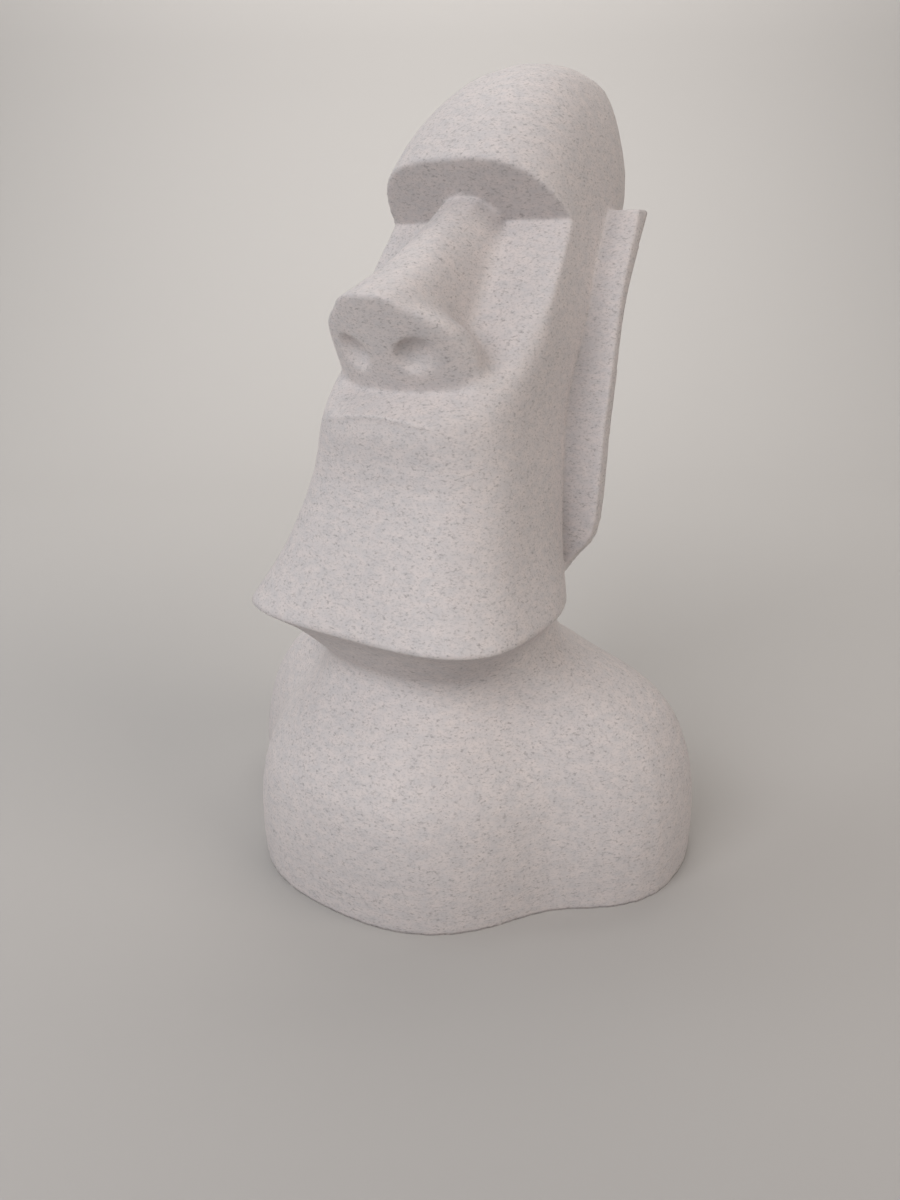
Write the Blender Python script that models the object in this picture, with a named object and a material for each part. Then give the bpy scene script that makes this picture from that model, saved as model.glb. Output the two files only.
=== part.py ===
"""A stylised moai bust, printed in one piece: shoulders, jutting chin, long nose, heavy brow and slab ears.

Metres, +Z up. The figure faces -Y and its left side is +X. The origin is on the standing face, under the
middle of the figure's width and depth. Its proportions are counted in modules, thirteen to the height.
"""

import math
from collections import namedtuple

import bmesh
import bpy

HEIGHT = 0.400
MODULE = HEIGHT / 13

SHARP_ANGLE = math.radians(35)

RING_POINTS = 72          # points round each ring of the trunk and head
RINGS_PER_SPAN = 3        # rings from one level to the next

# One level of the trunk and head block. Lengths in modules: z at the level's centre, rise of the ring for
# each module towards the back, y of the centre, reach forward and back of it, half the width and the
# squareness of the outline's front and back halves, then half the width and depth of the arms, which bulge
# out of that outline.
Level = namedtuple("Level", "name z rise y front back half square round arm_half arm_depth")

TRUNK = (
    Level("foot", -0.3, 0.0, 0.0, 4.05, 2.9, 3.09, 2.52, 2.5, 4.41, 2.25),
    Level("chest", 1.0, 0.0, 0.0, 4.07, 2.9, 3.10, 2.52, 2.5, 4.42, 2.25),
    Level("breast", 2.0, 0.0, 0.05, 3.92, 2.8, 2.94, 2.5, 2.5, 4.24, 2.10),
    Level("shoulder", 2.75, 0.0, 0.05, 3.35, 2.5, 2.52, 2.4, 2.4, 3.82, 1.9),
    Level("collar", 3.25, 0.0, -0.1, 2.70, 2.2, 2.15, 2.4, 2.3, 3.15, 1.6),
    Level("neck", 3.65, 0.0, -0.5, 2.10, 2.1, 1.98, 2.5, 2.2, 2.4, 1.3),
    Level("throat", 4.05, 0.05, -0.95, 1.85, 2.2, 2.0, 2.6, 2.2, 1.8, 1.1),
    Level("under_jaw", 4.40, 0.0, -1.4, 1.78, 2.5, 2.20, 3.1, 2.2, 1.2, 1.0),
    Level("jaw", 4.71, 0.0, -1.76, 1.80, 2.8, 2.53, 3.6, 2.2, 1.0, 0.8),
)

HEAD = (
    Level("jaw", 4.71, 0.0, -1.76, 1.80, 2.8, 2.53, 3.6, 2.2, 1.0, 0.8),
    Level("chin", 5.6, 0.0, -1.33, 1.75, 2.72, 2.12, 3.2, 2.3, 1.0, 0.8),
    Level("lip", 6.8, 0.0, -0.85, 1.68, 2.78, 1.86, 3.0, 2.3, 1.0, 0.8),
    Level("mouth", 7.9, 0.0, -0.46, 1.98, 2.88, 1.74, 3.0, 2.3, 1.0, 0.8),
    Level("cheek", 9.3, 0.0, 0.28, 2.09, 2.84, 1.83, 3.2, 2.3, 1.0, 0.8),
    Level("brow", 11.0, 0.0, 1.41, 2.27, 2.69, 1.64, 3.1, 2.3, 1.0, 0.8),
    Level("forehead", 12.0, 0.0, 1.85, 1.88, 2.15, 1.40, 2.8, 2.3, 0.8, 0.6),
    Level("crown", 12.7, 0.0, 2.30, 1.38, 1.62, 0.98, 2.5, 2.2, 0.5, 0.4),
    Level("poll", 13.0, 0.0, 2.55, 0.8, 0.9, 0.5, 2.2, 2.2, 0.2, 0.15),
)
ARM_SQUARE = 2.6
FUSE_POWER = 10.6         # how tightly the arms' bulge follows the trunk's outline where the two meet

# The face is cut back under the brow. Each line is y and z, in modules: the brow's edge, the line where its
# underside meets the eye's plane, and the foot of that plane, from where the upper lip runs out to the mouth.
BROW_EDGE = (-0.57, 11.44)
BROW_ROOT = (0.30, 10.57)
CHEEK = (-1.20, 8.55)
MOUTH = (-2.50, 7.83)
FACE_SWEEP = 0.05         # how far the cut falls back towards the sides, for a module off the middle
MOUTH_DROOP = 0.13        # how far the mouth's line drops towards its corners, for a module off the middle

# A section of the nose, square to the way it points: y, the bridge's top and half its width, the foot of both,
# the wings' top and half their width, in modules. The two outlines flow into one another.
Section = namedtuple("Section", "y top bridge foot wing_top wing")
NOSE = (
    Section(-3.20, 9.35, 0.60, 8.30, 9.25, 0.80),
    Section(-2.68, 9.56, 0.62, 8.20, 9.42, 1.00),
    Section(-2.35, 9.70, 0.64, 8.15, 9.46, 1.20),
    Section(-2.00, 9.86, 0.66, 8.08, 9.44, 1.38),
    Section(-1.60, 10.06, 0.67, 8.04, 9.30, 1.42),
    Section(-1.25, 10.26, 0.67, 8.06, 9.12, 1.22),
    Section(-0.90, 10.46, 0.67, 8.15, 9.02, 0.96),
    Section(-0.45, 10.72, 0.67, 8.30, 9.00, 0.78),
    Section(0.10, 11.02, 0.69, 8.80, 9.30, 0.72),
    Section(0.60, 11.24, 0.72, 9.40, 9.90, 0.72),
    Section(1.00, 11.40, 0.78, 9.90, 10.3, 0.75),
)
NOSE_POINTS = 40
BRIDGE_SQUARE = 2.9
WING_SQUARE = (2.2, 3.2)  # squareness of the wings' upper and lower halves
NOSE_FUSE = 8.0           # how tightly the bridge and the wings flow into one another
NOSE_TIP = (-2.68, 9.52)  # the crisp edge at the tip, where the underside starts, and where that meets the lip
NOSE_FOOT = (-2.03, 8.30)
NOSE_SWEEP = 0.26         # how far the nose's underside falls back towards its wings
NOSTRIL = {"x": 0.60, "y": -2.24, "z": 8.64, "size": (0.36, 0.26, 0.34)}

SWEEP_STEPS = 8           # slices of a swept cutter, from the middle to one side
CUT_BEYOND = 2.5          # how far the cutters stand out in front of the face, and past the nose's ends
FACE_CUT_HALF = 4.0
NOSE_CUT_HALF = 2.0

# A level of the ear, a flat slab: z, y of its front face, how far out it reaches and how thick it is.
Slab = namedtuple("Slab", "z y outer thick")
EAR = (
    Slab(4.85, 0.30, 1.75, 0.25),
    Slab(5.25, 0.30, 2.02, 0.27),
    Slab(5.65, 0.34, 2.30, 0.30),
    Slab(6.40, 0.42, 2.36, 0.30),
    Slab(7.30, 0.56, 2.34, 0.28),
    Slab(8.25, 0.74, 2.34, 0.26),
    Slab(9.20, 0.95, 2.32, 0.26),
    Slab(9.90, 1.22, 2.30, 0.32),
    Slab(10.50, 1.62, 2.24, 0.38),
    Slab(10.75, 1.80, 2.20, 0.40),
)
EAR_ROOT = 1.2


def clear_scene():
    for obj in list(bpy.data.objects):
        bpy.data.objects.remove(obj)


def new_object(name, mesh, collection):
    obj = bpy.data.objects.new(name, mesh)
    collection.objects.link(obj)
    return obj


def blended(levels, place):
    """The level at a fractional place along a row of levels, on a smooth curve through all of them."""
    last = len(levels) - 1
    i = min(int(place), last - 1)
    t = place - i
    a, b = levels[i], levels[i + 1]
    before = levels[max(i - 1, 0)]
    after = levels[min(i + 2, last)]
    values = {}
    for field in a._fields:
        p, q = getattr(a, field), getattr(b, field)
        if isinstance(p, str):
            values[field] = p
            continue
        into = (q - getattr(before, field)) / 2 if i > 0 else q - p
        out = (getattr(after, field) - p) / 2 if i < last - 1 else q - p
        values[field] = (
            (2 * t**3 - 3 * t**2 + 1) * p
            + (t**3 - 2 * t**2 + t) * into
            + (3 * t**2 - 2 * t**3) * q
            + (t**3 - t**2) * out
        )
    return type(a)(**values)


def reach(angle, half, depth, square):
    """Distance from the centre to a rounded-square outline, at an angle from +X."""
    across = abs(math.cos(angle)) / half
    along = abs(math.sin(angle)) / depth
    return (across**square + along**square) ** (-1 / square)


def ring(level):
    """The points of one level's outline, in metres."""
    points = []
    for i in range(RING_POINTS):
        angle = 2 * math.pi * i / RING_POINTS
        if math.sin(angle) > 0:
            trunk = reach(angle, level.half, level.back, level.round)
        else:
            trunk = reach(angle, level.half, level.front, level.square)
        arm = reach(angle, level.arm_half, level.arm_depth, ARM_SQUARE)
        r = (trunk**FUSE_POWER + arm**FUSE_POWER) ** (1 / FUSE_POWER)
        x, y = r * math.cos(angle), r * math.sin(angle)
        points.append((x * MODULE, (y + level.y) * MODULE, (level.z + level.rise * y) * MODULE))
    return points


def loft(rings):
    """A closed mesh through rings of equally many points, capped at both ends."""
    bm = bmesh.new()
    rows = [[bm.verts.new(point) for point in points] for points in rings]
    count = len(rows[0])
    for low, high in zip(rows, rows[1:]):
        for i in range(count):
            j = (i + 1) % count
            bm.faces.new((low[i], low[j], high[j], high[i]))
    bm.faces.new(rows[0])
    bm.faces.new(rows[-1])
    bmesh.ops.recalc_face_normals(bm, faces=bm.faces)
    mesh = bpy.data.meshes.new("loft")
    bm.to_mesh(mesh)
    bm.free()
    return mesh


def block_mesh():
    """Trunk, neck and the plain block of the head, with a crisp edge along the jaw."""
    rings = []
    for levels in (TRUNK, HEAD):
        steps = (len(levels) - 1) * RINGS_PER_SPAN
        start = 0 if levels is TRUNK else 1
        rings += [ring(blended(levels, k / RINGS_PER_SPAN)) for k in range(start, steps + 1)]
    return loft(rings)


def swept(outline, sweep, reach_out):
    """A cutter run across to both sides, its outline shifting in y and z with the square of the distance."""
    slices = []
    for i in range(-SWEEP_STEPS, SWEEP_STEPS + 1):
        x = reach_out * i / SWEEP_STEPS
        slices.append([(x * MODULE, (y + sweep * x * x) * MODULE, (z - droop * x * x) * MODULE)
                       for y, z, droop in outline])
    return loft(slices)


def face_cut_mesh():
    """The space under the brow: the brow's underside on top, the eye's plane and the upper lip behind it."""
    brow_slope = (BROW_EDGE[1] - BROW_ROOT[1]) / (BROW_EDGE[0] - BROW_ROOT[0])
    lip_slope = (MOUTH[1] - CHEEK[1]) / (MOUTH[0] - CHEEK[0])
    outline = (
        (*BROW_ROOT, 0),
        (BROW_EDGE[0] - CUT_BEYOND, BROW_EDGE[1] - CUT_BEYOND * brow_slope, 0),
        (MOUTH[0] - CUT_BEYOND, MOUTH[1] - CUT_BEYOND * lip_slope, MOUTH_DROOP),
        (*MOUTH, MOUTH_DROOP),
        (*CHEEK, 0),
    )
    return swept(outline, FACE_SWEEP, FACE_CUT_HALF)


def nose_cut_mesh():
    """The space in front of the nose's underside."""
    slope = (NOSE_TIP[1] - NOSE_FOOT[1]) / (NOSE_TIP[0] - NOSE_FOOT[0])
    top = (NOSE_TIP[0] + CUT_BEYOND / slope, NOSE_TIP[1] + CUT_BEYOND, 0)
    foot = (NOSE_FOOT[0] - CUT_BEYOND / slope, NOSE_FOOT[1] - CUT_BEYOND, 0)
    outline = (top, foot, (foot[0] - 2 * CUT_BEYOND, foot[1], 0), (top[0] - CUT_BEYOND, top[1], 0))
    return swept(outline, NOSE_SWEEP, NOSE_CUT_HALF)


def nose_ring(section):
    """One section of the nose, the narrow bridge standing on the broad wings."""
    middle = (section.wing_top + section.foot) / 2
    low = middle - section.foot
    made = []
    for i in range(NOSE_POINTS):
        angle = 2 * math.pi * i / NOSE_POINTS
        above = math.sin(angle) > 0
        bridge = reach(angle, section.bridge, section.top - middle if above else low, BRIDGE_SQUARE)
        wing = reach(angle, section.wing, low, WING_SQUARE[0] if above else WING_SQUARE[1])
        r = (bridge**NOSE_FUSE + wing**NOSE_FUSE) ** (1 / NOSE_FUSE)
        made.append((r * math.cos(angle) * MODULE, section.y * MODULE, (middle + r * math.sin(angle)) * MODULE))
    return made


def nose_mesh():
    steps = (len(NOSE) - 1) * RINGS_PER_SPAN
    return loft([nose_ring(blended(NOSE, k / RINGS_PER_SPAN)) for k in range(steps + 1)])


def ear_mesh(side):
    """A slab that leans back with the head, its lower end cut off aslant."""
    rings = []
    for k in range((len(EAR) - 1) * RINGS_PER_SPAN + 1):
        slab = blended(EAR, k / RINGS_PER_SPAN)
        x = (EAR_ROOT * side, slab.outer * side)
        y = (slab.y, slab.y + slab.thick)
        corners = ((x[0], y[0]), (x[1], y[0]), (x[1], y[1]), (x[0], y[1]))
        rings.append([(px * MODULE, py * MODULE, slab.z * MODULE) for px, py in corners])
    return loft(rings)


def nostril_mesh(side):
    bm = bmesh.new()
    bmesh.ops.create_uvsphere(bm, u_segments=24, v_segments=12, radius=MODULE)
    bmesh.ops.scale(bm, verts=bm.verts, vec=NOSTRIL["size"])
    place = (NOSTRIL["x"] * side * MODULE, NOSTRIL["y"] * MODULE, NOSTRIL["z"] * MODULE)
    bmesh.ops.translate(bm, verts=bm.verts, vec=place)
    mesh = bpy.data.meshes.new("nostril")
    bm.to_mesh(mesh)
    bm.free()
    return mesh


def apply_modifiers(obj):
    """Bakes the object's modifiers into its mesh."""
    graph = bpy.context.evaluated_depsgraph_get()
    mesh = bpy.data.meshes.new_from_object(obj.evaluated_get(graph))
    obj.modifiers.clear()
    obj.data = mesh


def combine(body, other, operation):
    modifier = body.modifiers.new(operation.title(), "BOOLEAN")
    modifier.operation = operation
    modifier.object = other
    modifier.solver = "EXACT"
    apply_modifiers(body)
    bpy.data.objects.remove(other)


def trim_flat(body):
    """Cuts the solid off flat at the standing face."""
    bm = bmesh.new()
    bm.from_mesh(body.data)
    geometry = list(bm.verts) + list(bm.edges) + list(bm.faces)
    cut = bmesh.ops.bisect_plane(bm, geom=geometry, plane_co=(0, 0, 0), plane_no=(0, 0, -1), clear_outer=True)
    rim = [item for item in cut["geom_cut"] if isinstance(item, bmesh.types.BMEdge)]
    bmesh.ops.edgeloop_fill(bm, edges=rim)
    bmesh.ops.recalc_face_normals(bm, faces=bm.faces)
    bm.to_mesh(body.data)
    bm.free()


def centre(body):
    """Moves the solid level until the middle of its width and depth is at the origin."""
    for axis in (0, 1):
        places = [vertex.co[axis] for vertex in body.data.vertices]
        middle = (min(places) + max(places)) / 2
        for vertex in body.data.vertices:
            vertex.co[axis] -= middle


def stone_material():
    material = bpy.data.materials.new("speckled_stone")
    material.use_nodes = True
    shader = material.node_tree.nodes["Principled BSDF"]
    shader.inputs["Base Color"].default_value = (0.62, 0.60, 0.59, 1)
    shader.inputs["Roughness"].default_value = 0.6
    shader.inputs["Metallic"].default_value = 0.0
    return material


def main():
    clear_scene()
    figure = bpy.data.collections.new("moai_bust")
    cutters = bpy.data.collections.new("cutters")
    for collection in (figure, cutters):
        bpy.context.scene.collection.children.link(collection)
    cutters.hide_render = True
    bust = new_object("moai_bust", block_mesh(), figure)
    combine(bust, new_object("face_cut", face_cut_mesh(), cutters), "DIFFERENCE")
    nose = new_object("nose", nose_mesh(), cutters)
    combine(nose, new_object("nose_cut", nose_cut_mesh(), cutters), "DIFFERENCE")
    combine(bust, nose, "UNION")
    for side in (-1, 1):
        combine(bust, new_object("ear", ear_mesh(side), cutters), "UNION")
        combine(bust, new_object("nostril", nostril_mesh(side), cutters), "DIFFERENCE")
    trim_flat(bust)
    centre(bust)
    bust.data.shade_smooth()
    bust.data.set_sharp_from_angle(angle=SHARP_ANGLE)
    bust.data.materials.clear()
    bust.data.materials.append(stone_material())


main()
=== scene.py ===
import math

import bmesh
import bpy
from mathutils import Matrix, Vector, noise


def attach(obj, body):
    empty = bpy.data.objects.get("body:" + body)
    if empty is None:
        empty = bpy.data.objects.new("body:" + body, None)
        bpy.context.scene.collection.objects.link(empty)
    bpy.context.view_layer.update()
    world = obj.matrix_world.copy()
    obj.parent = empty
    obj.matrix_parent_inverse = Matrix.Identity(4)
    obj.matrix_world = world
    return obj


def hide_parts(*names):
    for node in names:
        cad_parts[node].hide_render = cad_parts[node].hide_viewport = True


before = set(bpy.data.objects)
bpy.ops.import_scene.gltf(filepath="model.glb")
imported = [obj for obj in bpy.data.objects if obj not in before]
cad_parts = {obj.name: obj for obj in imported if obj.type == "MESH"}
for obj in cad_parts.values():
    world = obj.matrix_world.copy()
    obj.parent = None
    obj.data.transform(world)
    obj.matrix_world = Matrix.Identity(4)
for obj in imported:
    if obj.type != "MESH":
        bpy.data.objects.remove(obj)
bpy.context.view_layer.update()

height = 0.400
module = height / 13


def deselectAll():
    for other in bpy.context.selected_objects:
        other.select_set(False)


def onlySelect(obj):
    deselectAll()
    obj.select_set(True)
    bpy.context.view_layer.objects.active = obj


def useModifier(obj, kind, **values):
    onlySelect(obj)
    modifier = obj.modifiers.new(kind.title(), kind)
    for name, value in values.items():
        setattr(modifier, name, value)
    bpy.ops.object.modifier_apply(modifier=modifier.name)


def smoothStep(start, full, value):
    share = min(max((value - start) / (full - start), 0), 1)
    return share * share * (3 - 2 * share)


# the bust's own surface: a merged copy of the solid, remade in even faces and softened as the print is
bustShape = {
    "mergeWithin": 0.00002,
    "gridDepth": 8,
    "gridShare": 0.76,        # the finest grid that keeps the figure under its triangle limit
    "softness": 4,            # rounds of smoothing over the whole figure
    "footHeight": 0.0012,     # below this the figure is flat
    "footFade": 0.004,        # the smoothing grows from none at the ground to full here
    "leastWeight": 0.01,
    # each zone's weight runs from none to full along its ramps, in modules; x is the distance off the middle
    "zones": [
        # the rounded rims of the nose's wings; the middle of the tip stays crisp
        {"name": "noseRims", "rounds": 16, "ramps": [
            ("x", 0.5, 1.0), ("y", -1.3, -1.8), ("z", 8.1, 8.4), ("z", 10.0, 9.7)]},
        # where the cut under the brow dies out on the cheeks
        {"name": "cheeks", "rounds": 130, "ramps": [
            ("x", 0.95, 1.45), ("y", -0.1, -0.9), ("z", 7.1, 7.6), ("z", 9.9, 8.7)]},
        # the nose's bridge and flanks, clear of its crisp tip and of the brow's edge
        {"name": "noseRoot", "rounds": 36, "ramps": [
            ("x", 1.6, 1.2), ("y", -2.3, -1.7), ("y", 0.3, 0.0), ("z", 8.4, 8.8), ("z", 10.8, 10.5)]},
    ],
}


def softenWhere(obj, name, weights, rounds):
    group = obj.vertex_groups.new(name=name)
    for index, weight in weights.items():
        group.add([index], weight, "REPLACE")
    useModifier(obj, "SMOOTH", factor=0.5, iterations=rounds, vertex_group=name)
    obj.vertex_groups.remove(obj.vertex_groups[name])


def zoneWeights(obj, zone):
    weights = {}
    for v in obj.data.vertices:
        place = {"x": abs(v.co.x) / module, "y": v.co.y / module, "z": v.co.z / module}
        weight = math.prod(smoothStep(start, full, place[axis]) for axis, start, full in zone["ramps"])
        if weight > bustShape["leastWeight"]:
            weights[v.index] = weight
    return weights


def makeBust():
    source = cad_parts["moai_bust"]
    bust = bpy.data.objects.new("bust", source.data.copy())
    bpy.context.scene.collection.objects.link(bust)
    bust.data.materials.clear()
    onlySelect(bust)
    bpy.ops.object.mode_set(mode="EDIT")
    bpy.ops.mesh.select_all(action="SELECT")
    bpy.ops.mesh.remove_doubles(threshold=bustShape["mergeWithin"])
    bpy.ops.mesh.normals_make_consistent(inside=False)
    bpy.ops.object.mode_set(mode="OBJECT")
    print("merged", len(bust.data.vertices))
    useModifier(
        bust, "REMESH", mode="SHARP", sharpness=1.0,
        octree_depth=bustShape["gridDepth"], scale=bustShape["gridShare"],
    )
    print("remade", len(bust.data.polygons))

    # every weight is taken before the first smoothing moves anything
    zones = [(zone, zoneWeights(bust, zone)) for zone in bustShape["zones"]]
    everywhere = {
        v.index: smoothStep(0, bustShape["footFade"], v.co.z)
        for v in bust.data.vertices if v.co.z >= bustShape["footHeight"]
    }
    for zone, weights in zones:
        softenWhere(bust, zone["name"], weights, zone["rounds"])
    softenWhere(bust, "all", everywhere, bustShape["softness"])
    print("softened")
    drawMouth(bust)
    for v in bust.data.vertices:
        if v.co.z < bustShape["footHeight"]:
            v.co.z = 0
    roughenFoot(bust)
    bust.data.shade_smooth()
    return bust


# the mouth: a thin raised line across the face that dies out at both corners
mouth = {
    "z": 7.84,                # in modules, at the middle
    "droop": 0.13,            # and how far it falls, for the square of the distance off the middle
    "half": 1.25,             # half its length, in modules
    "fadeFrom": 0.55,
    "proud": 0.0005,
    "width": 0.0011,
    "band": 0.0042,           # the finer faces reach this far above and below
    "cuts": 2,
    "roundness": 0.6,
}


def offMouth(point):
    return point.z - (mouth["z"] * module - mouth["droop"] * point.x ** 2 / module)


def byMouth(point):
    across = abs(point.x) < mouth["half"] * module
    return across and point.y < -module and abs(offMouth(point)) < mouth["band"]


def drawMouth(bust):
    onlySelect(bust)
    bpy.ops.object.mode_set(mode="EDIT")
    bpy.ops.mesh.select_mode(type="FACE")
    bpy.ops.mesh.select_all(action="DESELECT")
    mesh = bmesh.from_edit_mesh(bust.data)
    for face in mesh.faces:
        if byMouth(face.calc_center_median()):
            face.select_set(True)
    bmesh.update_edit_mesh(bust.data)
    bpy.ops.mesh.subdivide(number_cuts=mouth["cuts"], smoothness=mouth["roundness"])
    bpy.ops.object.mode_set(mode="OBJECT")
    for v in bust.data.vertices:
        if byMouth(v.co):
            fade = 1 - smoothStep(mouth["fadeFrom"], mouth["half"], abs(v.co.x) / module)
            lift = mouth["proud"] * math.exp(-((offMouth(v.co) / mouth["width"]) ** 2)) * fade
            v.co += v.normal * lift
    print("mouth")


# the first printed layers, which wander a little at the foot
firstLayers = {
    "depth": 0.0007,
    "height": 0.003,
    "waves": 260,             # to the metre
    "fineWaves": 700,
    "fineShare": 0.5,
    "slice": 3,               # the level of the noise that the broad waves are read at
}


def roughenFoot(bust):
    waves = firstLayers["waves"]
    for v in bust.data.vertices:
        if v.co.z < firstLayers["height"]:
            share = 1 - v.co.z / firstLayers["height"]
            wander = noise.noise(Vector((v.co.x * waves, v.co.y * waves, firstLayers["slice"])))
            wander += firstLayers["fineShare"] * noise.noise(v.co * firstLayers["fineWaves"])
            inward = Vector((-v.co.x, -v.co.y, 0)).normalized()
            v.co += inward * firstLayers["depth"] * share * (0.5 + 0.5 * wander)


bust = makeBust()
print("bust", len(bust.data.polygons))


# the print's plastic: a pale warm grey with dark specks drawn out along the layers
plastic = {
    "pale": (0.66, 0.605, 0.59, 1),
    "cool": (0.575, 0.545, 0.545, 1),
    "speck": (0.17, 0.155, 0.155, 1),
    "roughness": 0.55,
    "specular": 0.35,
    "metallic": 0.0,
    "grainRoughness": 0.6,
    # scales are to the metre, across the figure and up it; range is where the noise turns from none to full
    "clouds": {"across": 150, "up": 300, "detail": 3, "range": (0.34, 0.66), "row": 500},
    "fine": {"across": 700, "up": 1250, "detail": 2, "range": (0.50, 0.72), "strength": 0.30, "row": 200},
    "specks": {"across": 480, "up": 950, "detail": 3, "range": (0.58, 0.67), "strength": 0.44, "row": -100},
    "layer": 0.0003,          # height of a printed layer
    "layerDepth": 0.00004,
    "layerStrength": 0.5,
}


def node(tree, kind, place, **values):
    made = tree.nodes.new(kind)
    made.location = place
    for name, value in values.items():
        setattr(made, name, value)
    return made


def makePlastic():
    material = bpy.data.materials.new("speckledPlastic")
    material.use_nodes = True
    tree = material.node_tree
    link = tree.links.new
    shader = tree.nodes["Principled BSDF"]
    shader.inputs["Roughness"].default_value = plastic["roughness"]
    shader.inputs["Specular IOR Level"].default_value = plastic["specular"]
    shader.inputs["Metallic"].default_value = plastic["metallic"]
    place = node(tree, "ShaderNodeTexCoord", (-1400, 0))

    def grain(kind):
        row = kind["row"]
        mapping = node(tree, "ShaderNodeMapping", (-1200, row))
        mapping.inputs["Scale"].default_value = (kind["across"], kind["across"], kind["up"])
        link(place.outputs["Object"], mapping.inputs["Vector"])
        pattern = node(tree, "ShaderNodeTexNoise", (-1000, row))
        pattern.inputs["Scale"].default_value = 1.0
        pattern.inputs["Detail"].default_value = kind["detail"]
        pattern.inputs["Roughness"].default_value = plastic["grainRoughness"]
        link(mapping.outputs["Vector"], pattern.inputs["Vector"])
        spread = node(tree, "ShaderNodeMapRange", (-800, row))
        spread.inputs["From Min"].default_value, spread.inputs["From Max"].default_value = kind["range"]
        link(pattern.outputs["Fac"], spread.inputs["Value"])
        if "strength" not in kind:
            return spread.outputs["Result"]
        weaker = node(tree, "ShaderNodeMath", (-650, row), operation="MULTIPLY")
        weaker.inputs[1].default_value = kind["strength"]
        link(spread.outputs["Result"], weaker.inputs[0])
        return weaker.outputs[0]

    def mixed(factor, under, over, row):
        made = node(tree, "ShaderNodeMix", (-500, row), data_type="RGBA")
        link(factor, made.inputs["Factor"])
        if isinstance(under, tuple):
            made.inputs[6].default_value = under
        else:
            link(under, made.inputs[6])
        made.inputs[7].default_value = over
        return made.outputs[2]

    # clouds a few millimetres across, fine grain, then the specks themselves
    colour = mixed(grain(plastic["clouds"]), plastic["pale"], plastic["cool"], 500)
    for name in ("fine", "specks"):
        colour = mixed(grain(plastic[name]), colour, plastic["speck"], plastic[name]["row"])
    link(colour, shader.inputs["Base Color"])

    # the layers stand a few hundredths of a millimetre proud; at scale 1 the bands lie pi / 10 metres apart
    wave = node(tree, "ShaderNodeTexWave", (-800, -400), wave_type="BANDS", bands_direction="Z")
    wave.inputs["Scale"].default_value = math.pi / 10 / plastic["layer"]
    link(place.outputs["Object"], wave.inputs["Vector"])
    bump = node(tree, "ShaderNodeBump", (-300, -400))
    bump.inputs["Distance"].default_value = plastic["layerDepth"]
    bump.inputs["Strength"].default_value = plastic["layerStrength"]
    link(wave.outputs["Fac"], bump.inputs["Height"])
    link(bump.outputs["Normal"], shader.inputs["Normal"])
    return material


bust.data.materials.append(makePlastic())
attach(bust, "root")
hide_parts("moai_bust")
print("plastic")


# a plain pale floor that curves up into a backdrop
studio = {
    "colour": (0.45, 0.435, 0.42, 1),
    "roughness": 0.9,
    "front": 2.2,
    "back": 1.5,
    "curve": 0.7,
    "curveSteps": 16,
    "rise": 3.2,
    "half": 4.0,
    "turn": 34,               # degrees, so that the backdrop faces the camera
}


def makeStudio():
    deselectAll()
    bpy.ops.mesh.primitive_plane_add(size=2)
    sheet = bpy.context.object
    sheet.name = "studio"
    for v in sheet.data.vertices:
        v.co.x *= studio["half"]
        v.co.y = -studio["front"] if v.co.y < 0 else studio["back"]
    bpy.ops.object.mode_set(mode="EDIT")
    bpy.ops.mesh.select_mode(type="EDGE")

    def selectBackEdge():
        near = 0.01
        bpy.ops.mesh.select_all(action="DESELECT")
        mesh = bmesh.from_edit_mesh(sheet.data)
        for edge in mesh.edges:
            if all(v.co.y > studio["back"] - near and v.co.z < near for v in edge.verts):
                edge.select_set(True)
        bmesh.update_edit_mesh(sheet.data)

    selectBackEdge()
    bpy.ops.mesh.extrude_region_move(TRANSFORM_OT_translate={"value": (0, 0, studio["rise"])})
    selectBackEdge()
    bpy.ops.mesh.bevel(offset=studio["curve"], segments=studio["curveSteps"])
    bpy.ops.mesh.select_all(action="SELECT")
    bpy.ops.mesh.normals_make_consistent(inside=False)
    bpy.ops.object.mode_set(mode="OBJECT")
    sheet.data.transform(Matrix.Rotation(math.radians(studio["turn"]), 4, "Z"))
    sheet.data.shade_smooth()
    material = bpy.data.materials.new("studioGrey")
    material.use_nodes = True
    shader = material.node_tree.nodes["Principled BSDF"]
    shader.inputs["Base Color"].default_value = studio["colour"]
    shader.inputs["Roughness"].default_value = studio["roughness"]
    sheet.data.materials.append(material)


makeStudio()
print("studio")


# soft light: a neutral one in front, a warmer one from the right, a cool fill from the left and a dim world
lamps = [
    {"name": "window", "azimuth": 0, "elevation": 31, "away": 1.5,
     "size": 1.0, "power": 14, "colour": (1.0, 0.99, 1.0)},
    {"name": "room", "azimuth": 92, "elevation": 30, "away": 1.6,
     "size": 1.0, "power": 10.5, "colour": (1.0, 0.92, 0.85)},
    {"name": "leftFill", "azimuth": -62, "elevation": 30, "away": 1.7,
     "size": 1.2, "power": 5.5, "colour": (0.95, 0.98, 1.0)},
]
aim = Vector((0, 0, 0.2))
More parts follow.
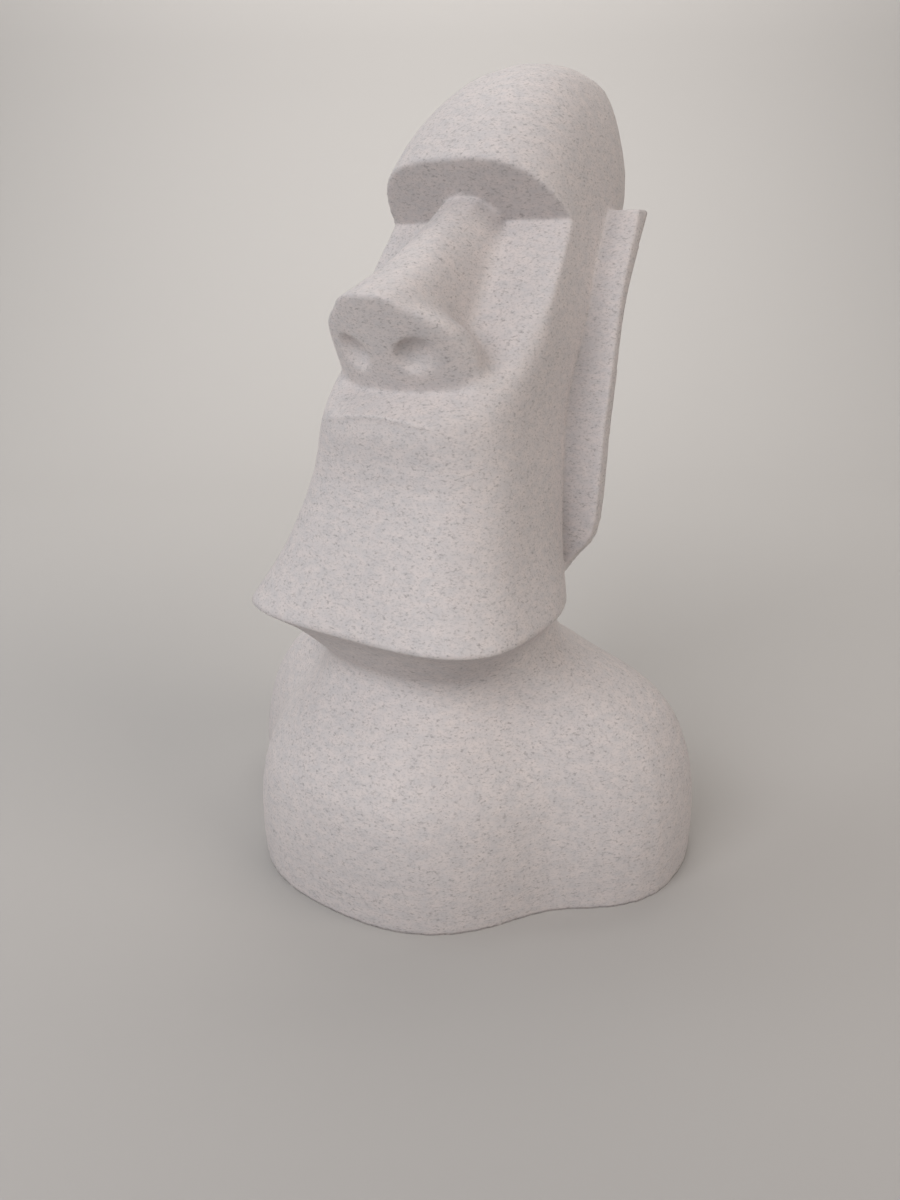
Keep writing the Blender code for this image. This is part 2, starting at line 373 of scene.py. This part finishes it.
# this one hangs above and behind the figure, out of view, and is there for the backdrop
wallLamp = {
    "place": (0, 0.75, 1.9), "aim": (0, 2.2, 0.9), "size": 1.6, "power": 38, "colour": (1.0, 0.98, 0.96),
}
surround = {"colour": (0.90, 0.93, 1.0, 1), "strength": 0.07}


def addLamp(name, lamp, place, towards):
    data = bpy.data.lights.new(name, "AREA")
    data.energy = lamp["power"]
    data.size = lamp["size"]
    data.color = lamp["colour"]
    made = bpy.data.objects.new(name, data)
    bpy.context.scene.collection.objects.link(made)
    made.location = place
    made.rotation_euler = (towards - place).to_track_quat("-Z", "Y").to_euler()


def makeLamps():
    for lamp in lamps:
        a, e = math.radians(lamp["azimuth"]), math.radians(lamp["elevation"])
        off = Vector((math.sin(a) * math.cos(e), -math.cos(a) * math.cos(e), math.sin(e)))
        addLamp(lamp["name"], lamp, aim + off * lamp["away"], aim)
    turn = Matrix.Rotation(math.radians(studio["turn"]), 3, "Z")
    addLamp("wall", wallLamp, turn @ Vector(wallLamp["place"]), turn @ Vector(wallLamp["aim"]))
    world = bpy.data.worlds.new("pale")
    world.use_nodes = True
    background = world.node_tree.nodes["Background"]
    background.inputs["Color"].default_value = surround["colour"]
    background.inputs["Strength"].default_value = surround["strength"]
    bpy.context.scene.world = world


makeLamps()
print("lamps")


# the camera stands where the photograph's did; angles are in degrees
view = {
    "place": (0.2594, -0.3995, 0.3077),
    "heading": 34.0,
    "down": 20.68,
    "roll": -0.44,
    "lens": 27.0,
    "sensor": 36,
    "nearest": 0.01,
}


def makeCamera():
    data = bpy.data.cameras.new("camera")
    data.lens = view["lens"]
    data.sensor_width = view["sensor"]
    data.clip_start = view["nearest"]
    camera = bpy.data.objects.new("camera", data)
    bpy.context.scene.collection.objects.link(camera)
    turn = (
        Matrix.Rotation(math.radians(view["heading"]), 3, "Z")
        @ Matrix.Rotation(math.radians(90 - view["down"]), 3, "X")
        @ Matrix.Rotation(math.radians(view["roll"]), 3, "Z")
    )
    camera.rotation_euler = turn.to_euler()
    camera.location = view["place"]
    bpy.context.scene.camera = camera


makeCamera()
bpy.context.scene.view_settings.view_transform = "Standard"
print("camera")
